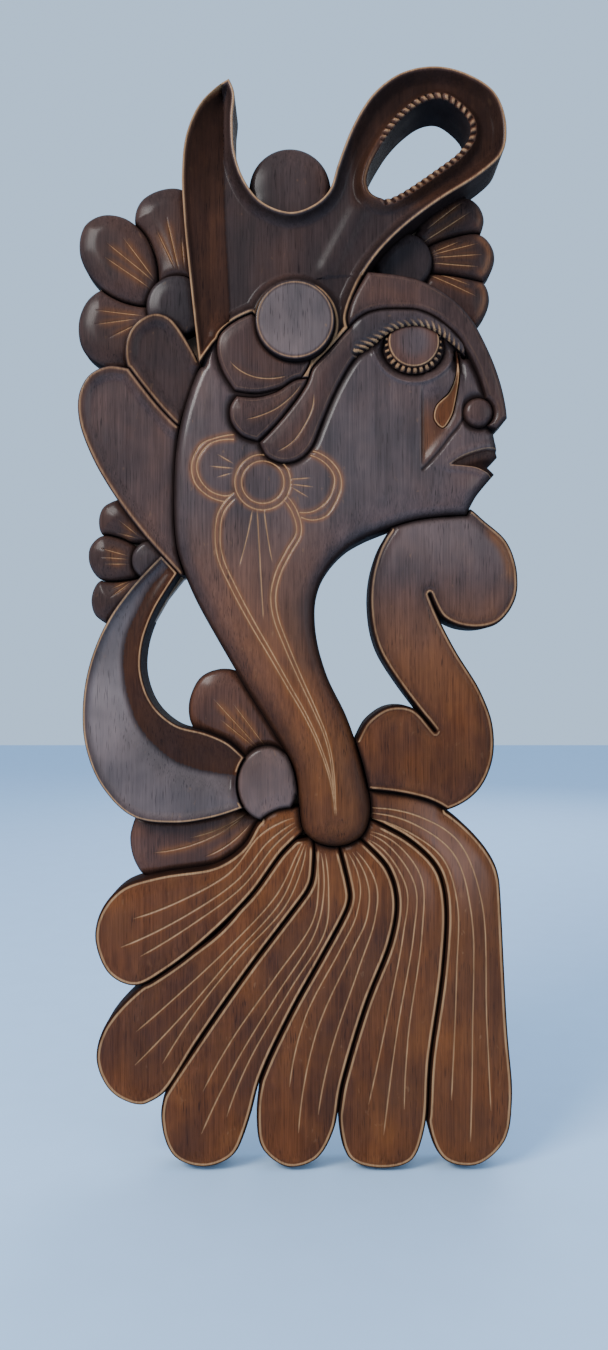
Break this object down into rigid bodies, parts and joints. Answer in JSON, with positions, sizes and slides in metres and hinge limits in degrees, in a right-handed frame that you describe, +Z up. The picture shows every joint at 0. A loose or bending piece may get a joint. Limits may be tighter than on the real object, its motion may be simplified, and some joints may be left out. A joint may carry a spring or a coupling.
{
  "type": "wall relief carving",
  "caption": "Pierced wooden wall carving: a stylised head in profile on a long neck over a fan of petals, with a looped crest, flowers, a crescent and a scroll.",
  "frame": {"origin": "centre of the keyhole slot's round end on the back plane, where the nail's shank rests", "axes": "+Z up, +X to the right seen from the front, the carved front faces -Y and the back plane is Y = 0"},
  "size_m": [0.326, 0.045, 0.804],
  "materials": {
    "stained_wood_dark": "dark brown stain under satin lacquer, tan wood showing on worn edges and incised lines",
    "stained_wood_warm": "reddish brown stain under satin lacquer, tan incised lines",
    "backer_wood": "plain planed wood, matt",
    "dowel_wood": "raw beech, matt",
    "steel": "zinc plated"
  },
  "bodies": {
    "root": {"ear_disc": "stained_wood_dark", "nostril": "stained_wood_dark", "tuft_lower": "stained_wood_dark", "tuft_middle": "stained_wood_dark", "tuft_upper": "stained_wood_dark", "tear": "stained_wood_dark", "eye": "stained_wood_dark", "crest": "stained_wood_dark", "brow_band": "stained_wood_dark", "head": "stained_wood_dark", "flower_low_boss": "stained_wood_dark", "leaf_lower": "stained_wood_dark", "leaf_upper": "stained_wood_dark", "crescent": "stained_wood_dark", "scroll": "stained_wood_dark", "crown_ball": "stained_wood_dark", "flower_side_boss": "stained_wood_dark", "flower_side_petal_middle": "stained_wood_dark", "flower_side_petal_top": "stained_wood_dark", "flower_side_petal_lower": "stained_wood_dark", "flower_low_petal_upper": "stained_wood_dark", "flower_low_petal_lower": "stained_wood_dark", "flower_left_boss": "stained_wood_dark", "flower_left_petal_outer": "stained_wood_dark", "flower_left_petal_top": "stained_wood_dark", "flower_left_petal_lower": "stained_wood_dark", "flower_right_boss": "stained_wood_dark", "flower_right_petal_middle": "stained_wood_dark", "flower_right_petal_top": "stained_wood_dark", "flower_right_petal_lower": "stained_wood_dark", "skirt_petal_1": "stained_wood_warm", "skirt_petal_2": "stained_wood_warm", "skirt_petal_3": "stained_wood_warm", "skirt_petal_4": "stained_wood_warm", "skirt_petal_5": "stained_wood_warm", "skirt_petal_6": "stained_wood_warm", "backer": "backer_wood", "hanger_block": "backer_wood", "hanger_plate": "steel", "hanger_screw_upper": "steel", "hanger_screw_lower": "steel", "dowel_crest_left": "dowel_wood", "dowel_crest_right": "dowel_wood", "dowel_ear_disc": "dowel_wood", "dowel_head_cheek": "dowel_wood", "dowel_head_nape": "dowel_wood", "dowel_leaf_upper": "dowel_wood", "dowel_leaf_lower": "dowel_wood", "dowel_crescent_top": "dowel_wood", "dowel_crescent_foot": "dowel_wood", "dowel_scroll_top": "dowel_wood", "dowel_scroll_foot": "dowel_wood", "dowel_skirt_petal_1": "dowel_wood", "dowel_skirt_petal_2": "dowel_wood", "dowel_skirt_petal_3": "dowel_wood", "dowel_skirt_petal_4": "dowel_wood", "dowel_skirt_petal_5": "dowel_wood", "dowel_skirt_petal_6": "dowel_wood"}
  },
  "joints": []
}
